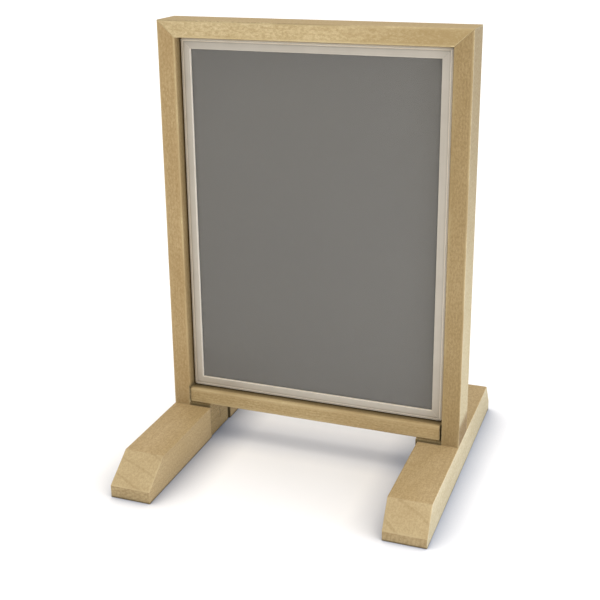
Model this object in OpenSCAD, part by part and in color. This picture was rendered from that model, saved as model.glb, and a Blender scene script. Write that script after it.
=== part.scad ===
// Pavement sign stand: a lumber frame on two long feet, with a hinged aluminium
// poster frame set into each face of the opening.
// The origin is on the floor under the middle of the frame. X runs across the sign,
// -Y is the front face and +Z is up.

/* [Lumber frame] */
// Overall width across the uprights
frame_w = 650; // [560:1:760]
// Height from the floor to the top of the frame
frame_top = 928; // [800:1:1100]
// Depth of the frame from front to back
frame_d = 80; // [76:1:100]
// Face width of each upright
upright_w = 38; // [34:1:50]
// Height of the top and bottom rails
rail_h = 35; // [30:1:45]
// Step of the bottom rail behind the face of the uprights
rail_setback = 3; // [1:0.5:6]
// Radius of the eased long edges of the frame
edge_r = 3; // [1:0.5:6]
// Slack at the right-hand end of the bottom rail
rail_slack = 3; // [0.5:0.5:4]

/* [Feet] */
// Width of each foot
foot_w = 88; // [80:1:100]
// Height of each foot
foot_h = 74; // [66:1:90]
// Flat top of a foot in front of the frame
foot_reach = 229; // [180:1:260]
// Length of the sloped end of the left foot
left_slope = 68; // [40:1:80]
// Height of the blunt nose of the left foot
left_nose = 26; // [18:1:34]
// Length of the sloped end of the right foot
right_slope = 36; // [30:1:80]
// Height of the blunt nose of the right foot
right_nose = 20; // [16:1:34]

/* [Leg blocks] */
// Length of a leg block along the foot
block_len = 97; // [84:1:110]
// Slack behind a leg block in the notch of the foot
block_slack = 6; // [3:0.5:10]
// Step of the left block behind the side of the foot
left_block_step = 2; // [0.5:0.5:4]
// Step of the right block proud of the side of the foot
right_block_step = 4; // [1:0.5:6]

/* [Poster frames] */
// Depth of the poster frame's face behind the face of the lumber
recess = 20; // [18:0.5:24]
// Gap between the poster frame and the uprights
side_gap = 3; // [2.5:0.5:6]
// Gap between the poster frame and the rails
rail_gap = 2; // [2:0.5:6]
// Visible width of the aluminium border
border_w = 22; // [20:0.5:28]
// Depth of the whole aluminium profile
profile_d = 12.5; // [12.5:0.5:15]
// Wall of the aluminium extrusions
wall = 1.6; // [1.4:0.1:2]
// Thickness of the fluted backing panel
panel_t = 3.9; // [3:0.1:4]
// Thickness of the clear cover sheet
sheet_t = 0.9; // [0.6:0.1:1]

/* [Hinged covers] */
// Distance of the hinge line in from the outer edge
pivot_in = 4; // [4:0.1:4.4]
// Depth of the hinge line behind the face
pivot_back = 4.6; // [4.6:0.1:5]
// Radius of the hinge bead on the base extrusion
bead_r = 2.2; // [2:0.05:2.3]
// Radial running clearance of a cover on its bead
bead_clear = 0.05; // [0.02:0.01:0.1]
// Outer radius of the hinge socket on a cover
socket_r = 3.6; // [3.4:0.1:3.6]

/* [Fasteners] */
// Diameter of the lag screws in the feet
lag_d = 8; // [6:0.5:10]
// Diameter of the dowels in the frame joints
dowel_d = 8; // [6:0.5:10]
// Diameter of the small frame and batten screws
screw_d = 3.5; // [3:0.1:4]

/* [Hidden] */
$fn = 48;

lumber = "#b59d6f";
foot_tone = "#b59b6b";
silver = "#bdb5a6";
steel = "#8f9194";

half_w = frame_w / 2;
half_d = frame_d / 2;
open_half = half_w - upright_w;
open_top = frame_top - rail_h;
rail_z0 = foot_h + 6;
rail_z1 = rail_z0 + rail_h;
rail_d = frame_d - 2 * rail_setback;

snap_half = open_half - side_gap;
snap_z0 = rail_z1 + rail_gap;
snap_z1 = open_top - rail_gap;
snap_mid = (snap_z0 + snap_z1) / 2;
snap_h = snap_z1 - snap_z0;
snap_face = half_d - recess;
batten_t = 2 * (snap_face - profile_d);
batten_w = 30;

notch_y0 = -half_d;
notch_len = block_len + block_slack;
web_x = half_w - upright_w;
inner_x = half_w - foot_w;
block_z0 = 1;

floor_y = profile_d - wall;
sheet_y = floor_y - panel_t - sheet_t;
sheet_in = 10;
web_t = 1.2;
lip_end = sheet_y - 0.3;
mitre_gap = 0.15;
corner_clip = 3;
socket_cut = 2 * pivot_in + 1;
slot_side = web_t / 2 + 0.2;
lag_y = 22;
leg_bolt_z = 37;
leg_bolt_y = notch_y0 + block_len / 2;
leg_bolt_in = 10;
screw_in = 14;
screw_pitch = 150;
mitre_run = 40;

// A rectangle centred on the origin with four round corners.
module eased_rect(w, h, r) {
  square([w - 2 * r, h], center = true);
  square([w, h - 2 * r], center = true);
  for (sx = [-1, 1], sy = [-1, 1])
    translate([sx * (w / 2 - r), sy * (h / 2 - r)]) circle(r);
}

// A countersunk screw along +Y with the flat of its head at y = 0; its hole has no drive recess.
module flat_screw(d, len, hole = false) {
  rotate([-90, 0, 0]) difference() {
    union() {
      cylinder(h = wall + 0.9, r1 = d, r2 = d / 2);
      cylinder(h = len, r = d / 2);
    }
    if (!hole) translate([0, 0, -1]) cylinder(h = 1.9, r = d / 3, $fn = 4);
  }
}

// A hexagon-headed lag screw along +Z with the flat of its head at z = 0.
module lag(d, len) {
  cylinder(h = 0.6 * d, r = 0.95 * d, $fn = 6);
  cylinder(h = len, r = d / 2);
}

// The hole that a lag screw fills, with a wide counterbore of depth deep before z = 0.
module lag_hole(d, len, deep) {
  translate([0, 0, -deep]) cylinder(h = deep + 0.6 * d, r = 1.2 * d);
  cylinder(h = len, r = d / 2);
}

// ---- Lumber frame ----

// Region above the line from the outer to the inner corner at the left of the frame.
module mitre_wedge() {
  rotate([90, 0, 0]) linear_extrude(height = frame_d + 20, center = true)
    polygon([[-half_w, frame_top], [-open_half, open_top], [-open_half, frame_top + mitre_run],
      [-half_w - mitre_run, frame_top + mitre_run], [-half_w - mitre_run, frame_top + mitre_run * rail_h / upright_w]]);
}

module corner_dowel_pair() {
  slant = atan2(upright_w, rail_h);
  for (sy = [-1, 1])
    translate([-half_w + upright_w / 2, sy * frame_d / 4, frame_top - rail_h / 2])
      rotate([0, 90 - slant, 0]) cylinder(h = 28, r = dowel_d / 2, center = true);
}

module rail_dowel_pair() {
  for (sy = [-1, 1])
    translate([-open_half - 20, sy * 8, rail_z0 + rail_h / 2])
      rotate([0, 90, 0]) cylinder(h = 50, r = dowel_d / 2);
}

module foot_lag_pair(hole = false) {
  for (sy = [-1, 1])
    translate([-half_w + upright_w / 2, sy * lag_y, 22])
      if (hole) lag_hole(lag_d, 120, 30);
      else lag(lag_d, 120);
}

// The batten screws lie a quarter pitch off the screws of the poster frames.
module side_batten_screws(hole = false) {
  for (i = [-1, 0, 1])
    translate([-open_half + batten_w, 0, snap_mid + (2 * i + 0.25) * screw_pitch])
      rotate([0, 0, 90]) flat_screw(screw_d + 0.5, batten_w + 22, hole);
}

module rail_batten_screws(hole = false) {
  for (i = [-1, 1]) {
    translate([i * 0.75 * screw_pitch, 0, open_top - batten_w])
      rotate([90, 0, 0]) flat_screw(screw_d + 0.5, batten_w + 22, hole);
    translate([i * 0.75 * screw_pitch, 0, rail_z1 + batten_w])
      rotate([-90, 0, 0]) flat_screw(screw_d + 0.5, batten_w + 22, hole);
  }
}

module left_upright_body() {
  color(lumber) difference() {
    translate([-half_w + upright_w / 2, 0, foot_h])
      linear_extrude(height = frame_top - foot_h) eased_rect(upright_w, frame_d, edge_r);
    mitre_wedge();
    corner_dowel_pair();
    rail_dowel_pair();
    foot_lag_pair(hole = true);
    side_batten_screws(hole = true);
  }
}

module left_upright() {
  left_upright_body();
}

module right_upright() {
  mirror([1, 0, 0]) left_upright_body();
}

module top_rail() {
  color(lumber) difference() {
    translate([-half_w, 0, frame_top - rail_h / 2]) rotate([0, 90, 0])
      linear_extrude(height = frame_w) eased_rect(rail_h, frame_d, edge_r);
    for (m = [0, 1]) mirror([m, 0, 0]) {
      rotate([90, 0, 0]) linear_extrude(height = frame_d + 20, center = true)
        polygon([[-half_w, frame_top], [-open_half, open_top], [-open_half, open_top - mitre_run],
          [-half_w - mitre_run, open_top - mitre_run], [-half_w - mitre_run, frame_top + mitre_run * rail_h / upright_w]]);
      corner_dowel_pair();
    }
    rail_batten_screws(hole = true);
  }
}

module bottom_rail() {
  length = 2 * open_half - rail_slack;
  color(lumber) difference() {
    translate([-open_half, 0, rail_z0 + rail_h / 2]) rotate([0, 90, 0])
      linear_extrude(height = length) eased_rect(rail_h, rail_d, edge_r + 2);
    for (m = [0, 1]) mirror([m, 0, 0]) {
      rail_dowel_pair();
      block_screw_pair();
    }
    rail_batten_screws(hole = true);
  }
}

// ---- Feet and leg blocks ----

module foot(slope, nose) {
  tip = half_d + foot_reach + slope;
  difference() {
    translate([-half_w, 0, 0]) rotate([90, 0, 90]) linear_extrude(height = foot_w)
      polygon([[-tip, 0], [tip, 0], [tip, nose], [tip - slope, foot_h],
        [slope - tip, foot_h], [-tip, nose]]);
    translate([-web_x, notch_y0, -1]) cube([foot_w, notch_len, foot_h + 2]);
    foot_lag_pair(hole = true);
    leg_lag();
  }
}

// Lag screw that ties a leg block to the foot, with its head sunk in the block.
module leg_lag() {
  translate([-inner_x - leg_bolt_in, leg_bolt_y, leg_bolt_z]) rotate([0, -90, 0]) lag(lag_d, 68);
}

module block_screw_pair() {
  for (y = [leg_bolt_y - 26, leg_bolt_y + 22])
    translate([-web_x + 25, y, 34]) lag(6, 68);
}

module leg_block(step) {
  difference() {
    translate([-web_x, notch_y0, block_z0])
      cube([foot_w - upright_w + step, block_len, rail_z0 - block_z0]);
    translate([-inner_x - leg_bolt_in, leg_bolt_y, leg_bolt_z]) rotate([0, -90, 0])
      lag_hole(lag_d, 68, 20);
    for (y = [leg_bolt_y - 26, leg_bolt_y + 22])
      translate([-web_x + 25, y, 34]) lag_hole(6, 68, 40);
  }
}

module left_foot() {
  color(foot_tone) foot(left_slope, left_nose);
}

module right_foot() {
  color(foot_tone) mirror([1, 0, 0]) foot(right_slope, right_nose);
}

module left_leg_block() {
  color(foot_tone) leg_block(-left_block_step);
}

module right_leg_block() {
  color(foot_tone) mirror([1, 0, 0]) leg_block(right_block_step);
}

module leg_lag_screws() {
  color(steel) for (m = [0, 1]) mirror([m, 0, 0]) leg_lag();
}

module foot_lag_screws() {
  color(steel) for (m = [0, 1]) mirror([m, 0, 0]) foot_lag_pair();
}

module block_screws() {
  color(steel) for (m = [0, 1]) mirror([m, 0, 0]) block_screw_pair();
}

module corner_dowels() {
  color("burlywood") for (m = [0, 1]) mirror([m, 0, 0]) corner_dowel_pair();
}

module rail_dowels() {
  color("burlywood") for (m = [0, 1]) mirror([m, 0, 0]) rail_dowel_pair();
}

// ---- Battens in the opening ----

module upright_batten() {
  color(lumber) difference() {
    translate([-open_half, -batten_t / 2, rail_z1])
      cube([batten_w, batten_t, open_top - rail_z1]);
    side_batten_screws(hole = true);
    frame_screw_set(hole = true);
    rear() frame_screw_set(between = true, hole = true);
  }
}

module rail_batten(z) {
  color(lumber) difference() {
    translate([-open_half + batten_w, -batten_t / 2, z])
      cube([2 * (open_half - batten_w), batten_t, batten_w]);
    rail_batten_screws(hole = true);
    frame_screw_set(hole = true);
    rear() frame_screw_set(between = true, hole = true);
  }
}

module left_batten() {
  upright_batten();
}

module right_batten() {
  mirror([1, 0, 0]) upright_batten();
}

module top_batten() {
  rail_batten(open_top - batten_w);
}

module bottom_batten() {
  rail_batten(rail_z1);
}

module batten_screws() {
  color(steel) {
    for (m = [0, 1]) mirror([m, 0, 0]) side_batten_screws();
    rail_batten_screws();
  }
}

// ---- Poster frames ----
// Each bar lies along X with its outer edge at z = 0, its face at y = 0, and the
// opening below it. at_side() turns it to its side of the front frame.

module at_side(side) {
  if (side == "top") translate([0, -snap_face, snap_z1]) children();
  if (side == "bottom") translate([0, -snap_face, snap_z0]) rotate([0, 180, 0]) children();
  if (side == "left") translate([-snap_half, -snap_face, snap_mid]) rotate([0, -90, 0]) children();
  if (side == "right") translate([snap_half, -snap_face, snap_mid]) rotate([0, 90, 0]) children();
}

function bar_len(side) = side == "top" || side == "bottom" ? 2 * snap_half : snap_h;

// Keeps what lies between the two 45 degree ends of a bar.
module between_mitres(len, gap = 0) {
  reach = border_w + 8;
  intersection() {
    children();
    rotate([90, 0, 0]) linear_extrude(height = 60, center = true)
      polygon([[gap - len / 2 - 5, 5], [len / 2 - gap + 5, 5],
        [len / 2 - gap - reach, -reach], [gap - len / 2 + reach, -reach]]);
  }
}

// Sweeps a section drawn as (inward, back) along X.
module sweep(len) {
  translate([-len / 2, 0, 0]) rotate([0, 90, 0]) linear_extrude(height = len) children();
}

module base_bar(side, between = false) {
  len = bar_len(side);
  color(silver) at_side(side) difference() {
    between_mitres(len) sweep(len) {
      translate([pivot_in, pivot_back]) circle(bead_r);
      translate([pivot_in - web_t / 2, pivot_back]) square([web_t, profile_d - pivot_back]);
      translate([pivot_in - web_t / 2, floor_y]) square([border_w + 2 - pivot_in, wall]);
    }
    bar_screws(len, between, hole = true);
  }
}

module cover_section() {
  difference() {
    union() {
      translate([pivot_in, pivot_back]) circle(socket_r);
      polygon([[1.2, 2.4], [8, 0], [border_w, 0], [border_w, lip_end],
        [border_w - wall, lip_end], [border_w - wall, wall], [8.3, wall],
        [pivot_in + 1.5, pivot_back]]);
    }
    translate([pivot_in, pivot_back]) circle(bead_r + bead_clear);
    translate([pivot_in - 6 + slot_side, pivot_back - slot_side]) square(6);
  }
}

// The outer corners are clipped so that neighbouring covers clear each other when both stand open.
module cover_bar(side) {
  len = bar_len(side);
  front_of_hinge = pivot_back - slot_side - 1.2;
  color(silver) at_side(side) between_mitres(len, mitre_gap) union() {
    sweep(len - 2 * socket_cut) cover_section();
    sweep(len - 2 * corner_clip) intersection() {
      cover_section();
      union() {
        square([border_w, front_of_hinge]);
        translate([border_w - 3, 0]) square([3, lip_end]);
      }
    }
  }
}

// Screws that fix a bar to the battens, at whole pitches from its middle or between them.
module bar_screws(len, between = false, hole = false) {
  count = floor((len / 2 - 60) / screw_pitch);
  shift = between ? 0.5 : 0;
  for (i = [-count : between ? count - 1 : count])
    translate([(i + shift) * screw_pitch, floor_y, -screw_in]) flat_screw(screw_d, 11, hole);
}

module frame_screw_set(between = false, hole = false) {
  for (side = ["top", "bottom", "left", "right"])
    at_side(side) bar_screws(bar_len(side), between, hole);
}

module frame_screws(between) {
  color(steel) frame_screw_set(between);
}

module corner_key() {
  leg = 36;
  translate([-snap_half + pivot_in + 1, floor_y - snap_face - wall, snap_z1 - pivot_in - 1])
    mirror([0, 0, 1]) {
      cube([leg, wall, 4.2]);
      cube([4.2, wall, leg]);
    }
}

module corner_keys() {
  color(steel) for (m = [0, 1], n = [0, 1])
    mirror([m, 0, 0]) translate([0, 0, n * 2 * snap_mid]) mirror([0, 0, n]) corner_key();
}

// A bowed leaf lying on the floor of the profile with its crest under the socket.
module cover_spring() {
  half = 24;
  rise = floor_y - pivot_back - socket_r - 0.5;
  bow = [for (i = [0 : 12]) let (x = -half + i * half / 6)
    [x, floor_y - rise * (1 - pow(x / half, 2)) - 0.4]];
  back = [for (i = [12 : -1 : 0]) [bow[i][0], bow[i][1] + 0.4]];
  translate([0, 0, -pivot_in - 5.2]) linear_extrude(height = 4) polygon(concat(bow, back));
}

module cover_springs() {
  color(steel) for (side = ["top", "bottom", "left", "right"], s = [-1, 1])
    at_side(side) translate([s * bar_len(side) / 4, 0, 0]) cover_spring();
}

module plate(y, t) {
  translate([sheet_in - snap_half, y - snap_face, snap_z0 + sheet_in])
    cube([2 * (snap_half - sheet_in), t, snap_h - 2 * sheet_in]);
}

module backing_panel() {
  color("#777570") plate(floor_y - panel_t, panel_t);
}

module clear_sheet() {
  color("white", 0.2) plate(sheet_y, sheet_t);
}

module rear() {
  rotate([0, 0, 180]) children();
}

left_upright();
right_upright();
top_rail();
bottom_rail();
left_foot();
right_foot();
left_leg_block();
right_leg_block();
left_batten();
right_batten();
top_batten();
bottom_batten();
base_bar("top");  // front_base_top
base_bar("bottom");  // front_base_bottom
base_bar("left");  // front_base_left
base_bar("right");  // front_base_right
cover_bar("top");  // front_cover_top
cover_bar("bottom");  // front_cover_bottom
cover_bar("left");  // front_cover_left
cover_bar("right");  // front_cover_right
backing_panel();  // front_backing_panel
clear_sheet();  // front_clear_sheet
corner_keys();  // front_corner_keys
cover_springs();  // front_cover_springs
frame_screws(false);  // front_frame_screws
rear() base_bar("top", true);  // rear_base_top
rear() base_bar("bottom", true);  // rear_base_bottom
rear() base_bar("right", true);  // rear_base_left
rear() base_bar("left", true);  // rear_base_right
rear() cover_bar("top");  // rear_cover_top
rear() cover_bar("bottom");  // rear_cover_bottom
rear() cover_bar("right");  // rear_cover_left
rear() cover_bar("left");  // rear_cover_right
rear() backing_panel();  // rear_backing_panel
rear() clear_sheet();  // rear_clear_sheet
rear() corner_keys();  // rear_corner_keys
rear() cover_springs();  // rear_cover_springs
rear() frame_screws(true);  // rear_frame_screws
corner_dowels();
rail_dowels();
foot_lag_screws();
leg_lag_screws();
block_screws();
batten_screws();
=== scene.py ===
"""Looks of the pavement sign stand: eased and stained lumber, satin aluminium snap frames,
a fluted backing panel under a clear sheet. Everything is in metres, in the frame of the part."""

import math

import bmesh
import bpy
from mathutils import Matrix, Vector, noise


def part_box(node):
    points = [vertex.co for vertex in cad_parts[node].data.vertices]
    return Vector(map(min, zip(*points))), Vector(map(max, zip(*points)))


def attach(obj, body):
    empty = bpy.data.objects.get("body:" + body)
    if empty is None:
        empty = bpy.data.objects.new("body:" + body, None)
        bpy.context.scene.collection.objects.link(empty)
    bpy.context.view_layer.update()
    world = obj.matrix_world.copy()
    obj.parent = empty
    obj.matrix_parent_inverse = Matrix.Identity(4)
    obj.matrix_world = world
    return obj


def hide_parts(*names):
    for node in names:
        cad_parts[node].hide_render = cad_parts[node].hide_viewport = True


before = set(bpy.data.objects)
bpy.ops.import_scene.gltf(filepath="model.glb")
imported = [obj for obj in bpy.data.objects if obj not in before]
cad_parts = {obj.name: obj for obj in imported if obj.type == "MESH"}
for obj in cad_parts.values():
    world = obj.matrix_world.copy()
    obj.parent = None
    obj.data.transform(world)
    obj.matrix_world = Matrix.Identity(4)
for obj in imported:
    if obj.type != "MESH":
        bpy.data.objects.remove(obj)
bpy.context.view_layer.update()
MM = 0.001


# ---- Small helpers ----

def colour(code):
    """An sRGB hex colour as linear RGBA."""
    parts = [int(code[i:i + 2], 16) / 255 for i in (1, 3, 5)]
    return [c / 12.92 if c <= 0.04045 else ((c + 0.055) / 1.055) ** 2.4 for c in parts] + [1.0]


def add(tree, kind, inputs=(), **settings):
    """Adds a node to a tree with its settings, and sets or links its inputs."""
    made = tree.nodes.new(kind)
    for name, value in settings.items():
        setattr(made, name, value)
    for key, value in dict(inputs).items():
        if isinstance(value, bpy.types.NodeSocket):
            tree.links.new(value, made.inputs[key])
        else:
            made.inputs[key].default_value = value
    return made


def empty_finish(name):
    """A new material with no nodes, and its tree."""
    material = bpy.data.materials.new(name)
    material.use_nodes = True
    material.node_tree.nodes.clear()
    return material, material.node_tree


def new_object(name, data):
    """An object at the origin that shows this data."""
    made = bpy.data.objects.new(name, data)
    bpy.context.scene.collection.objects.link(made)
    return made


def finished_mesh(name, form):
    """The mesh of a form, which is used up by this."""
    mesh = bpy.data.meshes.new(name)
    form.to_mesh(mesh)
    form.free()
    return mesh


def skin(form, rings):
    """Faces from each ring of points to the next."""
    for near, far in zip(rings, rings[1:]):
        for i in range(len(near)):
            after = (i + 1) % len(near)
            form.faces.new((near[i], near[after], far[after], far[i]))


def piece_from(name, mesh, materials, slots=None, angle=35):
    """An object that shows this mesh, smooth except along edges sharper than the angle. slots
    says which of the materials each face has."""
    mesh.materials.clear()
    for material in materials:
        mesh.materials.append(material)
    if slots:
        mesh.polygons.foreach_set("material_index", slots)
    mesh.polygons.foreach_set("use_smooth", [True] * len(mesh.polygons))
    mesh.set_sharp_from_angle(angle=math.radians(angle))
    return new_object(name, mesh)


def fit_out(piece, body, slot, *nodes):
    """Puts a finished piece on its body and hides the nodes it stands for. The name of its finish is
    not used.
    """
    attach(piece, body)
    if nodes:
        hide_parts(*nodes)


def box_mesh(lo, hi):
    """A closed box as a mesh, to cut with."""
    made = bmesh.new()
    bmesh.ops.create_cube(made, size=1.0)
    size = [b - a for a, b in zip(lo, hi)]
    middle = [(a + b) / 2 for a, b in zip(lo, hi)]
    bmesh.ops.scale(made, vec=size, verts=made.verts)
    bmesh.ops.translate(made, vec=middle, verts=made.verts)
    return made


def bore_mesh(start, end, radius):
    """A closed round bar from start to end as a mesh, to bore with."""
    along = Vector(end) - Vector(start)
    turn = along.to_track_quat("Z", "Y").to_matrix().to_4x4()
    middle = Matrix.Translation((Vector(start) + Vector(end)) / 2)
    made = bmesh.new()
    bmesh.ops.create_cone(made, cap_ends=True, segments=40, radius1=radius, radius2=radius,
                          depth=along.length, matrix=middle @ turn)
    return made


def turned(profile, around, put):
    """A turned form. The profile holds radii and depths in millimetres, and
    put(radius, depth, angle) gives the point."""
    made = bmesh.new()
    angles = [math.tau * i / around for i in range(around)]
    rings = [[made.verts.new(put(radius * MM, depth * MM, a)) for a in angles]
             for radius, depth in profile]
    skin(made, rings)
    bmesh.ops.remove_doubles(made, verts=made.verts, dist=0.005 * MM)
    bmesh.ops.dissolve_degenerate(made, edges=made.edges, dist=0.005 * MM)
    bmesh.ops.recalc_face_normals(made, faces=made.faces)
    return made


def carved(mesh, cutters):
    """The mesh with every cutter taken out of it."""
    work = new_object("work", mesh)
    tools = []
    for cutter in cutters:
        tool = new_object("cutter", finished_mesh("cutter", cutter))
        tools.append(tool)
        cut = work.modifiers.new("cut", "BOOLEAN")
        cut.operation = "DIFFERENCE"
        cut.solver = "EXACT"
        cut.object = tool
    seen = work.evaluated_get(bpy.context.evaluated_depsgraph_get())
    result = bpy.data.meshes.new_from_object(seen)
    for spent in [work, *tools]:
        bpy.data.objects.remove(spent)
    return result


# ---- Finishes ----

# A rotation that brings the grain of a piece along X, Y or Z to the pattern's own Z.
TURN_TO_GRAIN = {"X": (0, -math.pi / 2, 0), "Y": (math.pi / 2, 0, 0), "Z": (0, 0, 0)}
# At scale 1 a wave repeats every 314 mm, and the spots of a noise are 1 m across.
WAVE_MM, NOISE_MM = 314, 1000
SAW_MARK_MM = 30.0
# The colour of the painted shade on the lumber: in the recess beside the aluminium, in the gaps of the
# joints and along the ground.
PAINTED_SHADE_TONE = "#4d4126"


def lumber(name, grain, pith, tones, ring_mm=5.5, fleck_mm=3.4, fleck=0.5, figure=0.45,
           saw=0.0, stain_and_shade_tone=None, rough=(0.56, 0.74), relief=0.35):
    """Sawn softwood. Growth rings run round a pith line along the grain, so faces show long
    streaks and cut ends show arcs. tones are its light, middle, dark and worn colours. Flecks
    are about 3 mm across, coarser than real fibres, so that they still show from two metres."""
    light, middle, dark, worn = [colour(c) for c in tones]
    material, tree = empty_finish(name)
    place = add(tree, "ShaderNodeTexCoord").outputs["Object"]
    along = add(tree, "ShaderNodeMapping", {
        "Vector": place, "Rotation": TURN_TO_GRAIN[grain], "Location": pith}).outputs[0]
    drawn = add(tree, "ShaderNodeMapping", {"Vector": along, "Scale": (1, 1, 0.12)}).outputs[0]
    ring = add(tree, "ShaderNodeTexWave", {
        "Vector": along, "Scale": WAVE_MM / ring_mm, "Distortion": 3.2, "Detail": 2.0,
        "Detail Scale": 0.16, "Detail Roughness": 0.55},
        wave_type="RINGS", rings_direction="Z").outputs["Fac"]
    ring_edge = add(tree, "ShaderNodeMapRange", {
        "Value": ring, "From Min": 0.35, "From Max": 1.0},
        interpolation_type="SMOOTHSTEP").outputs[0]
    fibre = add(tree, "ShaderNodeTexNoise", {
        "Vector": drawn, "Scale": NOISE_MM / fleck_mm * 1.2, "Detail": 3.0,
        "Roughness": 0.6}).outputs["Fac"]
    fibre_step = add(tree, "ShaderNodeMapRange", {
        "Value": fibre, "From Min": 0.36, "From Max": 0.66}).outputs[0]
    grit_at = add(tree, "ShaderNodeMapping", {"Vector": along, "Scale": (1, 1, 0.55)}).outputs[0]
    grit = add(tree, "ShaderNodeTexNoise", {
        "Vector": grit_at, "Scale": NOISE_MM / fleck_mm, "Detail": 4.0,
        "Roughness": 0.72}).outputs["Fac"]
    grit_step = add(tree, "ShaderNodeMapRange", {
        "Value": grit, "From Min": 0.38, "From Max": 0.62}).outputs[0]
    cloud_at = add(tree, "ShaderNodeMapping", {"Vector": along, "Scale": (1, 1, 0.4)}).outputs[0]
    cloud = add(tree, "ShaderNodeTexNoise", {
        "Vector": cloud_at, "Scale": NOISE_MM / 62.5, "Detail": 3.0, "Roughness": 0.5}).outputs["Fac"]
    cloud_step = add(tree, "ShaderNodeMapRange", {
        "Value": cloud, "From Min": 0.32, "From Max": 0.68}).outputs[0]

    tone = add(tree, "ShaderNodeMix", {0: cloud_step, 6: middle, 7: light},
               data_type="RGBA").outputs[2]
    for pattern, strength, over in ((ring_edge, figure, dark), (fibre_step, 0.35, middle),
                                    (grit_step, fleck, dark)):
        share = add(tree, "ShaderNodeMath", {0: pattern, 1: strength}, operation="MULTIPLY").outputs[0]
        tone = add(tree, "ShaderNodeMix", {0: share, 6: tone, 7: over}, data_type="RGBA").outputs[2]
    height = add(tree, "ShaderNodeMath", {0: fibre, 1: grit}, operation="ADD").outputs[0]

    if saw:
        # A few shallow marks that the saw leaves slanting across the cut.
        slanted = add(tree, "ShaderNodeMapping", {"Vector": place, "Rotation": (0, 0, 0.34)}).outputs[0]
        marks = add(tree, "ShaderNodeTexWave", {
            "Vector": slanted, "Scale": WAVE_MM / SAW_MARK_MM, "Distortion": 2.4, "Detail": 1.0,
            "Detail Scale": 0.9}, wave_type="BANDS", bands_direction="Y").outputs["Fac"]
        marks = add(tree, "ShaderNodeMapRange", {
            "Value": marks, "From Min": 0.93, "From Max": 1.0, "To Max": saw},
            interpolation_type="SMOOTHSTEP").outputs[0]
        tone = add(tree, "ShaderNodeMix", {0: marks, 6: tone, 7: dark}, data_type="RGBA").outputs[2]
        height = add(tree, "ShaderNodeMath", {0: height, 1: marks}, operation="SUBTRACT").outputs[0]

    if stain_and_shade_tone:
        # Damp and old stain lie where the marks of the piece say, with an uneven edge. The same mix
        # also paints shade: contact shade at the foot of the uprights, shade toward the top of their
        # outer sides and on the top of the top rail.
        stain_and_shade = add(tree, "ShaderNodeAttribute", attribute_name="stain_and_shade").outputs["Fac"]
        uneven = add(tree, "ShaderNodeMapRange", {
            "Value": grit, "From Min": 0.35, "From Max": 0.65, "To Min": 0.7, "To Max": 1.1}).outputs[0]
        stain_and_shade = add(tree, "ShaderNodeMath", {0: stain_and_shade, 1: uneven}, operation="MULTIPLY").outputs[0]
        tone = add(tree, "ShaderNodeMix", {0: stain_and_shade, 6: tone, 7: colour(stain_and_shade_tone)},
                   data_type="RGBA").outputs[2]

    # Painted shade: darker beside the aluminium, in the gaps of the joints and along the ground, where
    # shade falls.
    painted_shade = add(tree, "ShaderNodeAttribute", attribute_name="painted_shade").outputs["Fac"]
    tone = add(tree, "ShaderNodeMix", {0: painted_shade, 6: tone, 7: colour(PAINTED_SHADE_TONE)},
               data_type="RGBA").outputs[2]

    # Handling polishes the arrises paler; the grit breaks the worn line up.
    wear = add(tree, "ShaderNodeAttribute", attribute_name="wear").outputs["Fac"]
    broken = add(tree, "ShaderNodeMath", {0: cloud_step, 1: grit_step}, operation="MULTIPLY").outputs[0]
    worn_share = add(tree, "ShaderNodeMath", {0: wear, 1: broken}, operation="MULTIPLY",
                     use_clamp=True).outputs[0]
    tone = add(tree, "ShaderNodeMix", {0: worn_share, 6: tone, 7: worn},
               data_type="RGBA").outputs[2]

    gloss = add(tree, "ShaderNodeMapRange", {
        "Value": grit, "From Min": 0.3, "From Max": 0.7, "To Min": rough[0],
        "To Max": rough[1]}).outputs[0]
    relief_at = add(tree, "ShaderNodeBump", {
        "Height": height, "Strength": relief, "Distance": 0.6 * MM}).outputs[0]
    shader = add(tree, "ShaderNodeBsdfPrincipled", {
        "Base Color": tone, "Roughness": gloss, "Normal": relief_at, "IOR": 1.5,
        "Specular IOR Level": 0.3})
    add(tree, "ShaderNodeOutputMaterial", {0: shader.outputs[0]})
    return material


def drawn_metal(name, grain, tone, shade, rough, line_mm=1.6, relief=0.1, metallic=1.0):
    """Extruded or rolled metal. Fine die lines along the bar give it a satin sheen that is
    smoother one way than the other; faint clouds 45 mm across keep the sheen uneven."""
    material, tree = empty_finish(name)
    place = add(tree, "ShaderNodeTexCoord").outputs["Object"]
    along = add(tree, "ShaderNodeMapping", {
        "Vector": place, "Rotation": TURN_TO_GRAIN[grain]}).outputs[0]
    drawn = add(tree, "ShaderNodeMapping", {"Vector": along, "Scale": (1, 1, 0.01)}).outputs[0]
    lines = add(tree, "ShaderNodeTexNoise", {
        "Vector": drawn, "Scale": NOISE_MM / line_mm, "Detail": 3.0, "Roughness": 0.7}).outputs["Fac"]
    clouds = add(tree, "ShaderNodeTexNoise", {
        "Vector": along, "Scale": 22.0, "Detail": 3.0}).outputs["Fac"]
    both = add(tree, "ShaderNodeMath", {0: lines, 1: clouds}, operation="ADD").outputs[0]
    share = add(tree, "ShaderNodeMapRange", {
        "Value": both, "From Min": 0.7, "From Max": 1.3}).outputs[0]
    base = add(tree, "ShaderNodeMix", {0: share, 6: colour(shade), 7: colour(tone)},
               data_type="RGBA").outputs[2]
    gloss = add(tree, "ShaderNodeMapRange", {
        "Value": both, "From Min": 0.6, "From Max": 1.4, "To Min": rough[0],
        "To Max": rough[1]}).outputs[0]
    relief_at = add(tree, "ShaderNodeBump", {
        "Height": lines, "Strength": relief, "Distance": 0.2 * MM}).outputs[0]
    shader = add(tree, "ShaderNodeBsdfPrincipled", {
        "Base Color": base, "Metallic": metallic, "Roughness": gloss, "Normal": relief_at})
    add(tree, "ShaderNodeOutputMaterial", {0: shader.outputs[0]})
    return material


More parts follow.
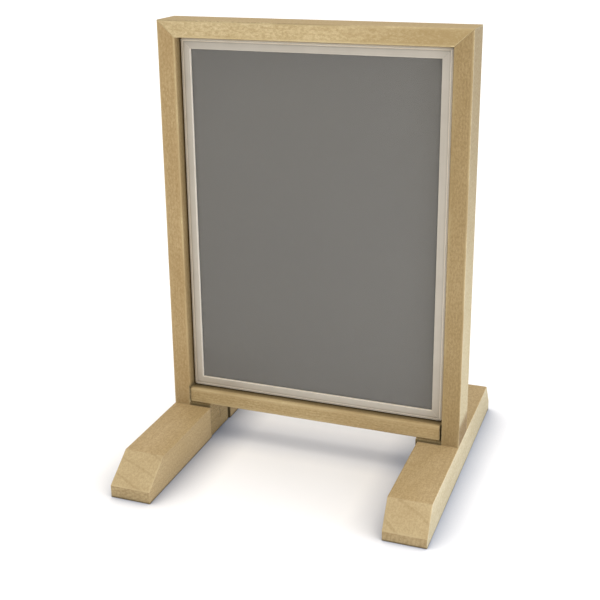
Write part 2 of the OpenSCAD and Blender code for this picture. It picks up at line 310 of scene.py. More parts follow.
def fluted_plastic(name):
    """Grey twin-wall polypropylene sheet: a soft semi-matt skin with the faint unevenness of
    extruded sheet. Upright streaks are 6 mm wide, grains 2.4 mm and clouds a third of a metre."""
    material, tree = empty_finish(name)
    place = add(tree, "ShaderNodeTexCoord").outputs["Object"]
    tall = add(tree, "ShaderNodeMapping", {"Vector": place, "Scale": (1, 1, 0.05)}).outputs[0]
    streaks = add(tree, "ShaderNodeTexNoise", {
        "Vector": tall, "Scale": 160.0, "Detail": 3.0, "Roughness": 0.6}).outputs["Fac"]
    grains = add(tree, "ShaderNodeTexNoise", {
        "Vector": place, "Scale": 420.0, "Detail": 2.0}).outputs["Fac"]
    wide = add(tree, "ShaderNodeTexNoise", {
        "Vector": place, "Scale": 3.0, "Detail": 2.0}).outputs["Fac"]
    mixed = add(tree, "ShaderNodeMath", {0: streaks, 1: grains}, operation="ADD").outputs[0]
    share = add(tree, "ShaderNodeMapRange", {
        "Value": mixed, "From Min": 0.7, "From Max": 1.3}).outputs[0]
    tone = add(tree, "ShaderNodeMix", {0: share, 6: colour("#64625d"), 7: colour("#676560")},
               data_type="RGBA").outputs[2]
    wide_share = add(tree, "ShaderNodeMapRange", {
        "Value": wide, "From Min": 0.3, "From Max": 0.7, "To Max": 0.4}).outputs[0]
    tone = add(tree, "ShaderNodeMix", {0: wide_share, 6: tone, 7: colour("#6a6861")},
               data_type="RGBA").outputs[2]
    gloss = add(tree, "ShaderNodeMapRange", {
        "Value": grains, "From Min": 0.3, "From Max": 0.7, "To Min": 0.5, "To Max": 0.58}).outputs[0]
    relief_at = add(tree, "ShaderNodeBump", {
        "Height": streaks, "Strength": 0.01, "Distance": 0.2 * MM}).outputs[0]
    shader = add(tree, "ShaderNodeBsdfPrincipled", {
        "Base Color": tone, "Roughness": gloss, "Normal": relief_at, "IOR": 1.49,
        "Specular IOR Level": 0.3})
    add(tree, "ShaderNodeOutputMaterial", {0: shader.outputs[0]})
    return material


def clear_plastic(name):
    """Clear non-glare PVC sheet: mostly seen through, with a thin even haze from its matt
    face that lifts the grey behind it a little, and wiping marks 17 mm wide in its gloss."""
    material, tree = empty_finish(name)
    place = add(tree, "ShaderNodeTexCoord").outputs["Object"]
    wiped = add(tree, "ShaderNodeMapping", {
        "Vector": place, "Rotation": (0, 0.6, 0), "Scale": (1, 1, 0.1)}).outputs[0]
    marks = add(tree, "ShaderNodeTexNoise", {
        "Vector": wiped, "Scale": 60.0, "Detail": 4.0}).outputs["Fac"]
    gloss = add(tree, "ShaderNodeMapRange", {
        "Value": marks, "From Min": 0.3, "From Max": 0.7, "To Min": 0.3, "To Max": 0.42}).outputs[0]
    shader = add(tree, "ShaderNodeBsdfPrincipled", {
        "Base Color": colour("#8f8e8a"), "Roughness": gloss, "IOR": 1.54, "Alpha": 0.05})
    add(tree, "ShaderNodeOutputMaterial", {0: shader.outputs[0]})
    return material


# Light, middle, dark and worn tones of each piece of lumber.
LEFT_TONES = ("#b59d72", "#a98f63", "#84693b", "#c8b588")
RIGHT_TONES = ("#a18b62", "#957e54", "#745d36", "#bfad83")
TOP_TONES = ("#cdbb92", "#bfab80", "#957d4e", "#cdbb90")
LOW_TONES = ("#b59f73", "#a99165", "#846c42", "#bda97f")
FOOT_TONES = ("#b8a179", "#ad956a", "#877045", "#99835a")
CUT_TONES = ("#b8a57d", "#ad9870", "#7c653c", "#bdab84")
END_TONES = ("#bba67c", "#a8926a", "#7c653f", "#ab976d")
# Painted shade: the leg blocks are darker, for the shade under the bottom rail.
SHADED_BLOCK_TONES = ("#aa9469", "#9c855a", "#705a33", "#a38f64")
# Painted light: paler, greyer copies of the pine for the outer sides of the uprights and feet.
PAINTED_LIT_SIDE_TONES = ("#b9ad8c", "#aea17f", "#8a774e", "#cbc0a2")
PAINTED_LIT_FOOT_TONES = ("#b8ab8a", "#ad9f7d", "#85734c", "#c1b391")
BEECH_TONES = ("#d9b98a", "#cfa978", "#b8905c", "#e0c79c")
# Stain colours. The first is the damp at the foot of the uprights, which also paints contact shade
# there. The second darkens the outer sides at the foot in the same way and, as painted shade, toward
# the top. The third deepens the top rail toward one end and paints shade on its top face.
DAMP_AND_CONTACT_SHADE, SIDE_STAIN_AND_SHADE, DEEP_STAIN_AND_SHADE = "#86704a", "#694f22", "#9d865a"
# Where the pith line passes each kind of member: far outside it for flat-sawn faces.
RIGHT_PITH, FOOT_PITH = (-0.24, 0.07, 0), (0.33, 0.13, 0)

# Stained construction pine: even sand colour, faint figure, dark flecks.
left_wood = lumber("stained_pine_left_upright", "Z", (0.36, 0.09, 0), LEFT_TONES,
                   stain_and_shade_tone=DAMP_AND_CONTACT_SHADE, figure=0.12)
right_wood = lumber("stained_pine_right_upright", "Z", RIGHT_PITH, RIGHT_TONES,
                    stain_and_shade_tone=DAMP_AND_CONTACT_SHADE, figure=0.12)
top_wood = lumber("stained_pine_top_rail", "X", (0.86, 0.11, 0), TOP_TONES,
                  stain_and_shade_tone=DEEP_STAIN_AND_SHADE, figure=0.15, fleck=0.6)
low_wood = lumber("stained_pine_bottom_rail", "X", (0.04, 0.06, 0), LOW_TONES, figure=0.22)
# Planed post lumber: calmer and smoother than the frame.
foot_wood = lumber("planed_pine_foot", "Y", FOOT_PITH, FOOT_TONES, ring_mm=9.0,
                   fleck_mm=3.0, fleck=0.5, figure=0.12, relief=0.3)
# A fresh saw cut is paler and keeps the marks of the saw.
cut_wood = lumber("saw_cut_pine_slope", "Y", FOOT_PITH, CUT_TONES, ring_mm=7.0,
                  fleck=0.35, figure=0.06, saw=0.22, relief=0.3)
# End grain shows the growth rings as arcs.
end_wood = lumber("pine_end_grain", "Y", FOOT_PITH, END_TONES, ring_mm=8.0,
                  fleck_mm=5.5, fleck=0.5, figure=0.25, relief=0.35)
# Painted light: the outer sides take a paler, greyer copy of the pine, as if lit by the cool side
# light.
painted_lit_side = lumber("pine_side_painted_lit", "Z", RIGHT_PITH, PAINTED_LIT_SIDE_TONES,
                       stain_and_shade_tone=SIDE_STAIN_AND_SHADE, figure=0.12)
painted_lit_foot = lumber("pine_foot_side_painted_lit", "Y", FOOT_PITH, PAINTED_LIT_FOOT_TONES,
                       ring_mm=9.0, fleck=0.4, figure=0.12, relief=0.25)
# Painted shade: the leg block's pine is darker, for the shade under the bottom rail.
shaded_block_wood = lumber("pine_leg_block_painted_shade", "Y", (0.30, 0.02, 0), SHADED_BLOCK_TONES, figure=0.3)
batten_wood = lumber("rough_pine_batten", "Z", (0.30, 0.05, 0), LEFT_TONES, relief=0.5)
# Turned beech: close-grained and pinker than the pine, with finer flecks.
beech = lumber("turned_beech_dowel", "X", (0.02, 0.9, 0), BEECH_TONES,
               ring_mm=3.0, fleck_mm=1.5, figure=0.3, relief=0.15)
# Anodised covers: a warm satin face, and paler shoulders that carry a painted highlight of the light
# they catch.
SATIN = ("#c2bbae", "#b5aea1", (0.44, 0.56))
SATIN_PAINTED_HIGHLIGHT = ("#f2e9d8", "#e9dfcc", (0.4, 0.5))
satin_x = drawn_metal("satin_anodised_aluminium_across", "X", *SATIN, metallic=0.72)
satin_z = drawn_metal("satin_anodised_aluminium_upright", "Z", *SATIN, metallic=0.72)
highlight_x = drawn_metal("aluminium_shoulder_painted_highlight_across", "X", *SATIN_PAINTED_HIGHLIGHT, metallic=0.25)
highlight_z = drawn_metal("aluminium_shoulder_painted_highlight_upright", "Z", *SATIN_PAINTED_HIGHLIGHT, metallic=0.25)
# Zinc plate is bright and cool; blued spring steel is dark with a soft sheen.
zinc = drawn_metal("zinc_plated_steel", "Z", "#b9bcc0", "#9c9fa3", (0.28, 0.42), line_mm=2.5)
spring = drawn_metal("blued_spring_steel", "X", "#6d7074", "#55585c", (0.3, 0.45))
plastic = fluted_plastic("grey_twin_wall_polypropylene")
clear = clear_plastic("clear_non_glare_sheet")


# ---- Lumber ----

ARRIS_STEPS = 5
# Along a face, from its arris: two points of the worn strip, then one about every 9 mm.
WORN_NEAR, WORN_FAR, FACE_STEP = 1.2 * MM, 3.5 * MM, 9 * MM


def eased_outline(width, height, radius):
    """Points (u, v, wear) round a rectangle with eased corners, and how worn each one is."""
    a, b = width / 2 - radius, height / 2 - radius
    centres = [(a, b), (-a, b), (-a, -b), (a, -b)]
    points = []
    for k, (cu, cv) in enumerate(centres):
        for i in range(ARRIS_STEPS + 1):
            angle = math.pi / 2 * (k + i / ARRIS_STEPS)
            points.append((cu + radius * math.cos(angle), cv + radius * math.sin(angle), 1.0))
        u0, v0, _ = points[-1]
        nu, nv = centres[(k + 1) % 4]
        first = math.pi / 2 * (k + 1)
        u1, v1 = nu + radius * math.cos(first), nv + radius * math.sin(first)
        run = math.hypot(u1 - u0, v1 - v0)
        count = max(2, round((run - 8 * MM) / FACE_STEP))
        inner = [WORN_FAR + (run - 2 * WORN_FAR) * j / count for j in range(1, count)]
        stops = [WORN_NEAR, WORN_FAR, *inner, run - WORN_FAR, run - WORN_NEAR]
        for stop in stops:
            near = min(stop, run - stop)
            wear = 0.45 if near < 2 * MM else 0.0
            points.append((u0 + (u1 - u0) * stop / run, v0 + (v1 - v0) * stop / run, wear))
    return points


def stations(length, pitch=7 * MM, ease=1.2 * MM):
    """Places along a member from 0 to its length, close together at the ends."""
    count = round((length - 8 * MM) / pitch)
    middle = [4 * MM + (length - 8 * MM) * i / count for i in range(count + 1)]
    start = [0.0, 0.4 * ease, ease, 2.2 * ease]
    return start + middle + [length - stop for stop in start[::-1]]


def end_inset(s, length, ease=1.2 * MM):
    """How far the section is pulled in near a sawn end, so that its arris is eased."""
    near = min(s, length - s)
    if near >= ease:
        return 0.0
    return 0.55 * MM * (1 - near / ease) ** 2


def roughened(point, wear, amount):
    """The small unevenness of a planed face, larger along a worn arris: slow waves about 26 mm
    long and quick ones of 6 mm."""
    slow = noise.noise(Vector(point) * 38.0)
    quick = noise.noise(Vector(point) * 170.0)
    return amount * (0.5 + 1.6 * wear) * (0.6 * slow + 0.4 * quick)


def unmarked(point):
    """No stain and no painted shade anywhere."""
    return 0.0, 0.0


# The rings of a sawn end, as shares of its outline, on which the stain and the painted shade can end
# close to the arris.
END_RINGS = (0.93, 0.86, 0.75)


def timber(name, outline, places, put, amount=0.16 * MM, stain_and_shade_at=unmarked):
    """Lofts an outline through its places. put(u, v, s) gives the point in the frame of the
    part, and the last function how much stain and painted shade each point takes."""
    made = bmesh.new()
    worn, stain_and_shade, painted_shade = [made.verts.layers.float.new(n) for n in ("wear", "stain_and_shade", "painted_shade")]
    length = places[-1]
    rings = []
    for s in places:
        pull = end_inset(s, length)
        ring = []
        for u, v, wear in outline:
            reach = math.hypot(u, v)
            point = put(u, v, s)
            shift = roughened(point, wear, amount) - pull
            vert = made.verts.new(put(u * (1 + shift / reach), v * (1 + shift / reach), s))
            vert[worn] = max(wear, 0.9 if min(s, length - s) < 1.5 * MM else 0.0)
            vert[stain_and_shade], vert[painted_shade] = stain_and_shade_at(Vector(point))
            ring.append(vert)
        rings.append(ring)
    skin(made, rings)
    for ring in (rings[0][::-1], rings[-1]):
        centre = sum((vert.co for vert in ring), Vector()) / len(outline)
        for share in END_RINGS:
            inner = []
            for vert in ring:
                point = centre.lerp(vert.co, share)
                inset = made.verts.new(point)
                inset[stain_and_shade], inset[painted_shade] = stain_and_shade_at(point)
                inner.append(inset)
            skin(made, [ring, inner])
            ring = inner
        made.faces.new(ring)
    bmesh.ops.remove_doubles(made, verts=made.verts, dist=0.01 * MM)
    bmesh.ops.recalc_face_normals(made, faces=made.faces)
    return finished_mesh(name, made)


rail_lo, rail_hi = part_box("top_rail")
low_lo, low_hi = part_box("bottom_rail")
side_lo, side_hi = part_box("left_upright")
side_outer, side_inner = abs(side_lo.x), abs(side_hi.x)
MITRE_RISE = (rail_hi.z - rail_lo.z) / (side_hi.x - side_lo.x)
SHADOW_LINE = 0.12 * MM
FRAME_EDGE, RAIL_EDGE = 2 * MM, 5 * MM
# A point this close to the plane of a face lies on that face.
SKIN = 1 * MM
# In the opening, painted shade starts at the first distance from the middle plane and is full
# at the second, beside the aluminium.
REBATE_SHADE_START, REBATE_SHADE_FULL = 33 * MM, 22 * MM


def fade(value, start, end):
    """0 at start and 1 at end, eased at both."""
    t = max(0.0, min(1.0, (value - start) / (end - start)))
    return t * t * (3 - 2 * t)


def upright_stain_and_shade(point):
    """Damp stain and painted contact shade at the foot of an upright, painted shade toward the
    top of its outer side, and painted shade beside the opening and at the bottom rail."""
    outer = abs(point.x) > side_outer - SKIN
    inner = abs(point.x) < side_inner + 1.6 * MM
    # Damp stain and painted contact shade at the foot of the upright.
    stain_and_shade_share = 0.3 * fade(point.z, side_lo.z + 44 * MM, side_lo.z + 24 * MM)
    if outer:
        # Painted shade: the outer side darkens toward its top.
        painted_side_shade = 0.14 + 0.44 * fade(point.z, 0.22, 0.8)
        stain_and_shade_share = max(fade(point.z, side_lo.z + 62 * MM, side_lo.z + 34 * MM), painted_side_shade)
    shade_share = 0.0
    # Painted shade in the recess beside the aluminium.
    if inner and abs(point.y) < 36 * MM:
        shade_share = 0.2 + 0.4 * fade(abs(point.y), REBATE_SHADE_START, REBATE_SHADE_FULL)
    # Painted shade where the bottom rail meets the upright.
    if inner and point.z < low_hi.z + 4 * MM:
        shade_share = 0.85
    return stain_and_shade_share, shade_share


def upright(side, sign, wood):
    """An upright with its mitred top. Its outer side takes the paler copy of the pine, as painted
    light.
    """
    lo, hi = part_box(f"{side}_upright")
    middle = (lo + hi) / 2
    full = hi.z - lo.z

    def upright_at(u, v, s):
        from_outside = (side_hi.x - side_lo.x) / 2 - sign * u
        top = full - from_outside * MITRE_RISE - SHADOW_LINE
        return middle.x + u, middle.y + v, lo.z + s * top / full

    outline = eased_outline(hi.x - lo.x, hi.y - lo.y, FRAME_EDGE)
    mesh = timber(f"{side}_upright_lumber", outline, stations(full), upright_at, stain_and_shade_at=upright_stain_and_shade)
    # Painted light: the outer side takes the paler, greyer copy of the pine.
    slots = [1 if face.normal.x * sign > 0.8 else 0 for face in mesh.polygons]
    piece = piece_from(f"{side}_upright_lumber", mesh, [wood, painted_lit_side], slots)
    fit_out(piece, "stand", "frame_lumber", f"{side}_upright")


def top_rail_at(u, v, s):
    """A point of the top rail, which is mitred at both ends."""
    middle = (rail_lo + rail_hi) / 2
    full = rail_hi.x - rail_lo.x
    from_top = (rail_hi.z - rail_lo.z) / 2 - v
    half = full / 2 - from_top / MITRE_RISE - SHADOW_LINE
    return middle.x + (2 * s / full - 1) * half, middle.y - u, middle.z + v


def bottom_rail_at(u, v, s):
    """A point of the bottom rail, which is cut square."""
    middle = (low_lo + low_hi) / 2
    return low_lo.x + s, middle.y - u, middle.z + v


def rail_stain_and_shade(point):
    """Painted shade beside the aluminium and in the joints at the ends of the bottom rail; the
    stain lies deeper toward one end of the top rail, and its top is darker as painted shade."""
    beside_top_cover = abs(point.z - rail_lo.z) < SKIN
    beside_low_cover = abs(point.z - low_hi.z) < SKIN
    shade_share = 0.0
    # Painted shade in the recess beside the aluminium.
    if (beside_top_cover or beside_low_cover) and abs(point.y) < 30 * MM:
        shade_share = 0.3 + 0.5 * fade(abs(point.y), REBATE_SHADE_START, REBATE_SHADE_FULL)
    # Painted shade in the gaps at the ends of the bottom rail.
    if point.z < low_hi.z + SKIN:
        to_end = min(point.x - low_lo.x, low_hi.x - point.x)
        return 0.0, max(shade_share, 0.85 * fade(to_end, 2.6 * MM, 0.4 * MM))
    # A thin darker line along the top front arris of the top rail, fading out toward its right end.
    if rail_hi.z - point.z < 2.4 * MM and abs(point.y) > rail_hi.y - 2.4 * MM:
        shade_share = 0.4 * fade(point.x, 0.2, -0.05)
    # The stain deepens toward the right end of the top rail; its top face takes the deep stain as
    # painted shade.
    deep = fade(point.x, -0.02, 0.28)
    return deep if point.z < rail_hi.z - SKIN else 0.85, shade_share


upright("left", -1, left_wood)
upright("right", 1, right_wood)

outline = eased_outline(rail_hi.y - rail_lo.y, rail_hi.z - rail_lo.z, FRAME_EDGE)
mesh = timber("top_rail_lumber", outline, stations(rail_hi.x - rail_lo.x), top_rail_at,
              stain_and_shade_at=rail_stain_and_shade)
fit_out(piece_from("top_rail_lumber", mesh, [top_wood]), "stand", "frame_lumber", "top_rail")

outline = eased_outline(low_hi.y - low_lo.y, low_hi.z - low_lo.z, RAIL_EDGE)
mesh = timber("bottom_rail_lumber", outline, stations(low_hi.x - low_lo.x, ease=2.4 * MM),
              bottom_rail_at, amount=0.2 * MM, stain_and_shade_at=rail_stain_and_shade)
piece = piece_from("bottom_rail_lumber", mesh, [low_wood])
fit_out(piece, "stand", "frame_lumber", "bottom_rail")


# ---- Feet and leg blocks ----

FOOT_EDGE, BLOCK_EDGE = 1.4 * MM, 1.6 * MM
# Length of the sloped ends of each foot, and height of their blunt noses.
SLOPES = {"left": (68 * MM, 26 * MM), "right": (36 * MM, 20 * MM)}
# The notch that takes the leg block, across the foot and along it.
NOTCH_IN, NOTCH_OUT = 200 * MM, 287 * MM
NOTCH_FRONT, NOTCH_BACK = -40 * MM, 63 * MM
# Cutters start below the ground and end above the foot.
BELOW, ABOVE = -10 * MM, 90 * MM
# Counterbores under the foot for the screws that go up into the upright.
LAG_X, LAG_Y, LAG_DEEP, LAG_R = 306 * MM, 22 * MM, 26.8 * MM, 9.6 * MM
# The screw through the leg block into the foot: its axis, and the ends of its counterbore.
BOLT_Y, BOLT_Z = 8.5 * MM, 37 * MM
BOLT_MOUTH, BOLT_SEAT = 225 * MM, 251.8 * MM
# The two screws that go up through the leg block into the bottom rail.
RISER_X, RISER_DEEP, RISER_R = 262 * MM, 37.6 * MM, 7.2 * MM
RISER_Y = (BOLT_Y - 26 * MM, BOLT_Y + 22 * MM)
# Radius and depth below the face, in millimetres, of the plug over the screw head.
PLUG = [(0.0, 0.3), (8.6, 0.25), (9.3, 0.9), (9.3, 5.0), (0.0, 5.0)]
block_lo, block_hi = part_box("left_leg_block")


def foot_contact_shade(point):
    """Painted contact shade along the lowest edges, where a foot stands on the pavement."""
    return 0.0, 0.85 * fade(point.z, 4.5 * MM, 0.8 * MM)


def block_painted_shade(point):
    """Painted shade along the lowest edges, and at both ends of a leg block, where it meets the foot.
    """
    near_end = min(point.y - block_lo.y, block_hi.y - point.y)
    return 0.0, max(0.75 * fade(point.z, 4 * MM, 1 * MM), 0.9 * fade(near_end, 5 * MM, 1.5 * MM))


def foot(side, sign):
    """A foot: sloped at both ends, notched for its leg block and counterbored from below."""
    lo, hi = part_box(f"{side}_foot")
    slope, nose = SLOPES[side]
    height = hi.z - lo.z
    middle = (lo + hi) / 2
    full = hi.y - lo.y

    def foot_at(u, v, s):
        near = min(s, full - s)
        top = height if near >= slope else nose + (height - nose) * near / slope
        share = (v + height / 2) / height
        return middle.x - u, lo.y + s, share * top

    outline = eased_outline(hi.x - lo.x, height, FOOT_EDGE)
    breaks = [slope + step * MM for step in (-1.6, -0.5, 0.0, 0.5, 1.6)]
    places = sorted(set(stations(full, pitch=8 * MM) + breaks + [full - b for b in breaks]))
    mesh = timber(f"{side}_foot_lumber", outline, places, foot_at, amount=0.14 * MM, stain_and_shade_at=foot_contact_shade)
    notch_x = sorted((sign * NOTCH_IN, sign * NOTCH_OUT))
    notch = box_mesh((notch_x[0], NOTCH_FRONT, BELOW), (notch_x[1], NOTCH_BACK, ABOVE))
    bores = [bore_mesh((sign * LAG_X, y, BELOW), (sign * LAG_X, y, LAG_DEEP), LAG_R)
             for y in (-LAG_Y, LAG_Y)]
    mesh = carved(mesh, [notch, *bores])
    # Painted shade on the walls of the notch, darker on the wall behind the leg block.
    shade_share = mesh.attributes["painted_shade"].data
    for vert in mesh.vertices:
        for wall, amount in ((NOTCH_BACK, 0.9), (NOTCH_FRONT, 0.4)):
            if abs(vert.co.y - wall) < 0.05 * MM:
                shade_share[vert.index].value = amount
    woods = [foot_wood, cut_wood, end_wood, painted_lit_foot]
    planed, sawn, end, painted_lit = range(4)
    slots = []
    for face in mesh.polygons:
        near_end = full / 2 - abs(face.center.y - middle.y)
        if abs(face.normal.y) > 0.9:
            slots.append(end)
        elif face.normal.z > 0.3 and near_end < slope:
            slots.append(sawn)
        # Painted light: the outer side takes the paler, greyer copy of the pine.
        elif face.normal.x * sign > 0.8 and abs(face.center.x) > side_outer - SKIN:
            slots.append(painted_lit)
        else:
            slots.append(planed)
    piece = piece_from(f"{side}_foot_lumber", mesh, woods, slots, angle=22)
    fit_out(piece, "stand", "foot_lumber", f"{side}_foot")


def leg_block(side, sign):
    """The block let into a foot, bored for the screw into the foot and the two into the rail."""
    lo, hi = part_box(f"{side}_leg_block")
    middle = (lo + hi) / 2

    def block_at(u, v, s):
        return middle.x - u, lo.y + s, middle.z + v

    outline = eased_outline(hi.x - lo.x, hi.z - lo.z, BLOCK_EDGE)
    mesh = timber(f"{side}_leg_block_lumber", outline, stations(hi.y - lo.y), block_at,
                  stain_and_shade_at=block_painted_shade)
    bores = [bore_mesh((sign * BOLT_MOUTH, BOLT_Y, BOLT_Z), (sign * BOLT_SEAT, BOLT_Y, BOLT_Z), LAG_R)]
    bores += [bore_mesh((sign * RISER_X, y, BELOW), (sign * RISER_X, y, RISER_DEEP), RISER_R)
              for y in RISER_Y]
    mesh = carved(mesh, bores)
    slots = [1 if abs(face.normal.y) > 0.9 else 0 for face in mesh.polygons]
    piece = piece_from(f"{side}_leg_block_lumber", mesh, [shaded_block_wood, end_wood], slots, angle=22)
    fit_out(piece, "stand", "foot_lumber", f"{side}_leg_block")


def block_plug(side, sign):
    """A wooden plug that closes the counterbore over the head of the leg screw."""
    lo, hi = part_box(f"{side}_leg_block")
    face_x = hi.x if sign < 0 else lo.x

    def plug_at(radius, depth, angle):
        return (face_x + sign * depth, BOLT_Y + radius * math.cos(angle),
                BOLT_Z + radius * math.sin(angle))

    mesh = finished_mesh(f"{side}_block_plug", turned(PLUG, 48, plug_at))
    piece = piece_from(f"{side}_block_plug", mesh, [shaded_block_wood], angle=50)
    fit_out(piece, "stand", "foot_lumber")


for side, sign in (("left", -1), ("right", 1)):
    foot(side, sign)
    leg_block(side, sign)
    block_plug(side, sign)


# ---- Aluminium covers ----

# The section of a cover, as distances inward from its outer side and back from its face.
BORDER = 22 * MM
BAR_WALL = 1.6 * MM
LIP_BACK = 5.8 * MM
SHOULDER, SHOULDER_BACK = 8 * MM, 8.3 * MM
HINGE = Vector((4 * MM, 4.6 * MM))
SOCKET_R, BORE_R = 3.6 * MM, 2.25 * MM
SLOT_SIDE = 0.8 * MM
# Angles round the hinge line at which the barrel leaves the shoulder, outside and inside.
BARREL_END, BARREL_START = -76.1, -29.2
# How far the hinge part stops short of the end of a cover, and the clip of its outer corner.
SOCKET_CUT, CORNER_CLIP, CLIP_IN, MITRE_GAP = 9 * MM, 3 * MM, 3.3 * MM, 0.15 * MM
SOCKET_IN, SOCKET_BACK = 19 * MM, 2.6 * MM
PAST, FAR_BACK = 5 * MM, 20 * MM
COVER_STEPS = 12


def arc(radius, start, end, steps):
    """Points (inward, back) round the hinge line, from one angle to another in degrees."""
    angles = [math.radians(start + (end - start) * i / steps) for i in range(steps + 1)]
    return [HINGE + radius * Vector((math.cos(a), math.sin(a))) for a in angles]


def softened(points, cuts, steps=5):
    """The corner points with each corner cut back by its own length and rounded."""
    result = []
    for k in range(1, len(points) - 1):
        before, corner, after = [Vector(p) for p in points[k - 1:k + 2]]
        start = corner + (before - corner).normalized() * cuts[k - 1]
        end = corner + (after - corner).normalized() * cuts[k - 1]
        for i in range(steps + 1):
            t = i / steps
            result.append(start * (1 - t) ** 2 + corner * 2 * t * (1 - t) + end * t * t)
    return result


def cover_outline():
    """Section of a snap cover: rolled hinge barrel, sloped shoulder, flat face and inner lip."""
    wide = math.degrees(math.acos(SLOT_SIDE / SOCKET_R))
    narrow = math.degrees(math.acos(SLOT_SIDE / BORE_R))
    barrel = arc(SOCKET_R, -90 - wide, BARREL_END, 12)
    inner = arc(SOCKET_R, BARREL_START, wide, 12)
    bore = arc(BORE_R, narrow, -90 - narrow, 18)
    corners = [barrel[-1], (SHOULDER, 0), (BORDER, 0), (BORDER, LIP_BACK),
               (BORDER - BAR_WALL, LIP_BACK), (BORDER - BAR_WALL, BAR_WALL),
               (SHOULDER_BACK, BAR_WALL), inner[0]]
    cuts = [2.4 * MM, 0.6 * MM, 0.4 * MM, 0.4 * MM, 0.3 * MM, 0.6 * MM]
    return barrel + softened(corners, cuts) + inner + bore


inside = {
    "left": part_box("front_cover_left")[1].x, "right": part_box("front_cover_right")[0].x,
    "bottom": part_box("front_cover_bottom")[1].z, "top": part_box("front_cover_top")[0].z}
outside = {
    "left": inside["left"] - BORDER, "right": inside["right"] + BORDER,
    "bottom": inside["bottom"] - BORDER, "top": inside["top"] + BORDER}
face_y = {"front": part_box("front_cover_top")[0].y, "rear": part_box("rear_cover_top")[1].y}
mid_z = (outside["top"] + outside["bottom"]) / 2
bar_half = {
    "left": (outside["top"] - outside["bottom"]) / 2,
    "top": (outside["right"] - outside["left"]) / 2}
bar_half["right"], bar_half["bottom"] = bar_half["left"], bar_half["top"]


def bar_point(face, side, inward, back, s):
    """A point of a bar from its section and its distance s along the bar from its middle."""
    y = face_y[face] + (back if face == "front" else -back)
    if side in ("left", "right"):
        step = inward if side == "left" else -inward
        return Vector((outside[side] + step, y, mid_z + s))
    step = inward if side == "bottom" else -inward
    return Vector((s, y, outside[side] + step))


def bar_box(face, side, inward, back, s):
    """A box between two corners given as pairs in the bar's own terms, to cut with."""
    ends = [bar_point(face, side, inward[i], back[i], s[i]) for i in (0, 1)]
    return box_mesh(tuple(map(min, *ends)), tuple(map(max, *ends)))


def cover_mesh(face, side, outline):
    """A mitred cover with its hinge part cut back and its outer corners clipped."""
    half = bar_half[side]
    made = bmesh.new()
    rings = []
    for k in range(-COVER_STEPS, COVER_STEPS + 1):
        share = k / COVER_STEPS
        rings.append([
            made.verts.new(bar_point(face, side, inward, back, share * (half - MITRE_GAP - inward)))
            for inward, back in outline])
    skin(made, rings)
    made.faces.new(rings[0][::-1])
    made.faces.new(rings[-1])
    bmesh.ops.recalc_face_normals(made, faces=made.faces)
    cutters = []
    for way in (-1, 1):
        cutters.append(bar_box(face, side, (-PAST, SOCKET_IN), (SOCKET_BACK, FAR_BACK),
                               (way * (half - SOCKET_CUT), way * (half + PAST))))
        cutters.append(bar_box(face, side, (-PAST, CLIP_IN), (-PAST, FAR_BACK),
                               (way * (half - CORNER_CLIP), way * (half + PAST))))
    return carved(finished_mesh(f"{face}_cover_{side}_rolled", made), cutters)


section = cover_outline()
for face in ("front", "rear"):
    for side in ("left", "right", "top", "bottom"):
        mesh = cover_mesh(face, side, section)
        metals = [satin_z, highlight_z] if side in ("left", "right") else [satin_x, highlight_x]
        # Painted highlight: every face but the flat ones takes the paler, less metallic finish.
        slots = [0 if abs(polygon.normal.y) > 0.97 else 1 for polygon in mesh.polygons]
        piece = piece_from(f"{face}_cover_{side}_rolled", mesh, metals, slots, angle=28)
        fit_out(piece, f"{face}_cover_{side}", "satin_aluminium", f"{face}_cover_{side}")


# ---- Repeated parts, made with Geometry Nodes ----

def new_geometry_tree(name, inputs):
    """A geometry tree with these named inputs, its group input and its output socket."""
    tree = bpy.data.node_groups.new(name, "GeometryNodeTree")
    for label, kind, value in inputs:
        socket = tree.interface.new_socket(label, in_out="INPUT", socket_type=kind)
        if value is not None:
            socket.default_value = value
    tree.interface.new_socket("Geometry", in_out="OUTPUT", socket_type="NodeSocketGeometry")
    return tree, add(tree, "NodeGroupInput").outputs


def grown(name, tree, values):
    """The plain mesh that a geometry tree makes with these inputs."""
    holder = new_object(name, bpy.data.meshes.new("start"))
    modifier = holder.modifiers.new("grow", "NODES")
    modifier.node_group = tree
    for item in tree.interface.items_tree:
        if item.in_out == "INPUT" and item.name in values:
            modifier[item.identifier] = values[item.name]
    seen = holder.evaluated_get(bpy.context.evaluated_depsgraph_get())
    mesh = bpy.data.meshes.new_from_object(seen)
    mesh.name = name
    holder.modifiers.remove(modifier)
    bpy.data.objects.remove(holder)
    return mesh


COLUMNS_PER_FLUTE = 8.0
FLUTE_PITCH, FLUTE_SWELL = 4 * MM, 0.015 * MM


